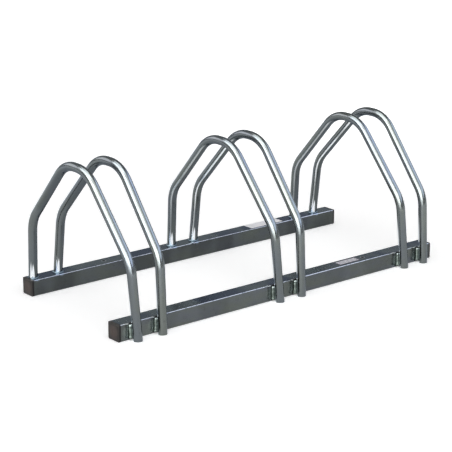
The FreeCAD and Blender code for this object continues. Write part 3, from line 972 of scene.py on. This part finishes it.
# %% Model one cap, with its plug towards +X
RAIL_SIZE = RAIL_TOP  # the rails are square and lie on the floor
FLANGE_CORNER = 2.5 * MM
FLANGE_EDGE = 0.8 * MM
PLUG_WIDTH = 24.6 * MM
FIN_WIDTH = 26.8 * MM
FIN_STARTS = (7 * MM, 13 * MM, 19 * MM)
FIN = 1 * MM
PLUG_WALL = 2 * MM
PLUG_FLOOR = 0.5 * MM
LARGE_FACE = 1e-5  # square metres: more than any face of the flange's rounded edge

# How far the outer face moves inwards at each step, and how wide it is then, in millimetres. The
# steps make a frame, a groove inside it, a softly crowned panel, and the dimple that the mould's
# gate left in the panel's middle.
PANEL_STEPS = (
    (0.00, 25.4),
    (0.45, 24.6),
    (0.05, 23.6),
    (-0.25, 22.6),
    (-0.15, 19.0),
    (-0.08, 13.0),
    (-0.02, 5.0),
    (0.00, 3.0),
    (0.30, 2.2),
)


class Outline:
    """The selected end face of the cap, which is pushed along X and scaled about the axis."""

    def __init__(self, width):
        self.width = width

    def grow(self, distance, width):
        """Extrudes the face along X, and scales its new end to a width."""
        bpy.ops.mesh.extrude_region_move(TRANSFORM_OT_translate={"value": (distance, 0, 0)})
        scale = width / self.width
        axis_point = (0, 0, RAIL_SIZE / 2)
        bpy.ops.transform.resize(value=(1, scale, scale), center_override=axis_point)
        self.width = width


def make_cap():
    """A moulded cap: a flange with a framed panel, and a hollow plug with three fins."""
    take_nothing()
    bpy.ops.mesh.primitive_cube_add(
        size=1, location=(-FLANGE / 2, 0, RAIL_SIZE / 2), scale=(FLANGE, RAIL_SIZE, RAIL_SIZE)
    )
    cap = bpy.context.object
    bpy.ops.object.transform_apply(location=True, rotation=True, scale=True)
    edit(cap)
    pick(cap, "EDGE", lambda edge: abs(middle(edge).x + FLANGE / 2) < NEAR)
    bpy.ops.mesh.bevel(offset=FLANGE_CORNER, segments=6, affect="EDGES")
    pick(cap, "FACE", lambda face: face.normal.x < -0.9)
    bpy.ops.mesh.bevel(offset=FLANGE_EDGE, segments=4, affect="EDGES")

    pick(cap, "FACE", lambda face: face.normal.x < -0.99 and face.calc_area() > LARGE_FACE)
    panel = Outline(RAIL_SIZE - 2 * FLANGE_EDGE)
    for distance, width in PANEL_STEPS:
        panel.grow(distance * MM, width * MM)

    pick(cap, "FACE", lambda face: face.normal.x > 0.99)
    plug = Outline(RAIL_SIZE)
    plug.grow(0, PLUG_WIDTH)
    here = 0.0
    for start in FIN_STARTS:
        plug.grow(start - here, PLUG_WIDTH)
        plug.grow(0, FIN_WIDTH)
        plug.grow(FIN, FIN_WIDTH)
        plug.grow(0, PLUG_WIDTH)
        here = start + FIN
    plug.grow(0, PLUG_WIDTH - 2 * PLUG_WALL)
    plug.grow(PLUG_FLOOR - here, PLUG_WIDTH - 2 * PLUG_WALL)
    bpy.ops.mesh.select_all(action="SELECT")
    bpy.ops.mesh.remove_doubles(threshold=0.001 * MM)
    bpy.ops.mesh.normals_make_consistent(inside=False)
    take(cap)
    bpy.ops.object.shade_smooth_by_angle(angle=math.radians(35))
    places = np.array([vertex.co for vertex in cap.data.vertices], dtype=np.float32)
    stored = cap.data.attributes.new("mould_place", "FLOAT_VECTOR", "POINT")
    stored.data.foreach_set("vector", places.ravel())
    return cap


cap_master = make_cap()
print("The cap reaches", [round(c / MM, 1) for c in cap_master.dimensions], "mm")

# %% Copy the cap to the four rail ends
caps = []
for rail_name, low, high in (("front", front_low, front_high), ("back", back_low, back_high)):
    for end_name, x, half_turns in (("left", low.x, 0), ("right", high.x, 1)):
        take(cap_master)
        bpy.ops.object.duplicate()
        cap = bpy.context.object
        turn = Matrix.Rotation(math.pi * half_turns, 4, "Z")
        cap.data.transform(Matrix.Translation((x, (low.y + high.y) / 2, 0)) @ turn)
        node = f"{rail_name}_{end_name}_cap"
        caps.append(finish_piece(cap, f"{node}_moulding", cap_plastic, "cap_plastic", node))
take(cap_master)
bpy.ops.object.delete()
print("Made", [cap.name for cap in caps])

# %% [markdown]
# ## Floor, light and camera
#
# The photo is a catalogue picture on white. The floor is a pale diffuse plane, lifted to white
# only for what the camera and the mirror finish see, so the rack still throws its shadow. One soft
# box overhead lights everything at a plain level. A mirror finish looks like what stands round
# it, so pale cards stand there too, seen in the gloss alone: those at the left give the bright
# stripe on the front slopes, the one behind gives the soft band on the crests, and the one at the
# right gives the blue edge.

# %% Floor
FLOOR_SIZE = 40  # metres

take_nothing()
bpy.ops.mesh.primitive_plane_add(size=FLOOR_SIZE)
floor = bpy.context.object
floor.name = "floor"
ground = Finish(
    "studio_floor",
    Base_Color=(0.86, 0.86, 0.86),
    Roughness=0.9,
    Specular_IOR_Level=0.0,
    Emission_Strength=1.0,
)
rays = ground.node("ShaderNodeLightPath").socket.node.outputs
seen = Signal(ground, rays["Is Camera Ray"]) + Signal(ground, rays["Is Glossy Ray"])
seen = seen + Signal(ground, rays["Is Transmission Ray"])
reach = ground.distance(ground.here(), (0.0, 0.0, 0.0))
glow = ground.blend(ground.between(reach, 0.5, 1.8), (0.40, 0.40, 0.40), (1.0, 1.0, 1.0))
ground.set(Emission_Color=ground.blend(seen, (0.0, 0.0, 0.0), glow))
floor.data.materials.append(ground.material)
print("Made the", floor.name, "of", FLOOR_SIZE, "m")

# %% World
HORIZON_GREY = 0.62
OVERHEAD_GREY = 0.38
OVERHEAD_FROM = 0.8  # the height of a direction, where straight up is 1

world = bpy.data.worlds.new("studio")
bpy.context.scene.world = world
sky = Nodes(world, "Background", Strength=1.0)
height = sky.parts(sky.node("ShaderNodeTexCoord", output="Generated"))[2]
fade = {0: height, 1: 0.0, 2: OVERHEAD_FROM, 3: HORIZON_GREY, 4: OVERHEAD_GREY}
sky.set(Color=sky.node("ShaderNodeMapRange", inputs=fade))
print("The world fades from", HORIZON_GREY, "at the horizon to", OVERHEAD_GREY, "overhead")

# %% Soft boxes
LAMP_DISTANCE = 4  # metres


def soft_box(name, azimuth, height, size, radiance, colour=(1.0, 1.0, 1.0), card=False):
    """A lamp of a given brightness, at angles from the front and up from the floor, in degrees.

    A card is seen in the gloss of metal alone, like a sheet of lit paper beside the object.
    """
    around, above = math.radians(azimuth), math.radians(height)
    lamp = bpy.data.lights.new(name, "AREA")
    lamp.shape = "RECTANGLE"
    lamp.size, lamp.size_y = size
    lamp.energy = radiance * math.pi * size[0] * size[1]
    lamp.color = colour
    stand = bpy.data.objects.new(name, lamp)
    towards = Vector((
        math.sin(around) * math.cos(above),
        -math.cos(around) * math.cos(above),
        math.sin(above),
    ))
    stand.location = towards * LAMP_DISTANCE
    stand.rotation_euler = towards.to_track_quat("Z", "Y").to_euler()
    stand.visible_diffuse = not card
    stand.visible_camera = False
    bpy.context.scene.collection.objects.link(stand)


soft_box("overhead_soft_box", -30, 68, (2.6, 2.6), 3.0)
soft_box("left_card", -60, 32, (5.6, 2.8), 7.5, card=True)
soft_box("low_left_card", -62, 8, (5.0, 1.0), 3.8, card=True)
soft_box("far_left_card", -106, 50, (3.0, 2.0), 7.0, card=True)
soft_box("top_card", -130, 80, (3.0, 2.2), 4.4, card=True)
soft_box("rear_card", -152, 27, (2.4, 1.8), 2.3, (1.03, 0.98, 1.02), card=True)
soft_box("right_card", 50, 38, (6.4, 2.4), 2.6, (0.86, 0.96, 1.26), card=True)

# %% Camera
# The view is the photo's: a long lens, seen from the front left and a little above.
AZIMUTH = math.radians(-39.59)
ELEVATION = math.radians(16.40)
ROLL = math.radians(0.13)
FOCAL_PIXELS = 1599.5
PHOTO_PIXELS = 452
SENSOR_WIDTH = 36
DISTANCE = 2.8743
AIM_POINT = Vector((0, 0, 0.1))
AIM_OFFSET = (-0.0198, -0.0053)

back = Vector((
    math.sin(AZIMUTH) * math.cos(ELEVATION),
    -math.cos(AZIMUTH) * math.cos(ELEVATION),
    math.sin(ELEVATION),
))
level_right = Vector((math.cos(AZIMUTH), math.sin(AZIMUTH), 0))
level_up = back.cross(level_right)
right = level_right * math.cos(ROLL) + level_up * math.sin(ROLL)
up = level_up * math.cos(ROLL) - level_right * math.sin(ROLL)
aim = AIM_POINT + right * AIM_OFFSET[0] + up * AIM_OFFSET[1]
lens = bpy.data.cameras.new("photo_camera")
lens.sensor_width = SENSOR_WIDTH
lens.lens = FOCAL_PIXELS / PHOTO_PIXELS * SENSOR_WIDTH
lens.clip_start = 0.05
lens.clip_end = 100
camera = bpy.data.objects.new("photo_camera", lens)
camera.matrix_world = Matrix.Translation(aim + back * DISTANCE) @ Matrix(
    (right, up, back)
).transposed().to_4x4()
bpy.context.scene.collection.objects.link(camera)
bpy.context.scene.camera = camera
print("The camera stands at", [round(c, 3) for c in camera.location], "with a lens of", lens.lens)

# %% Finish
bpy.context.scene.view_settings.view_transform = "Standard"
take_nothing()
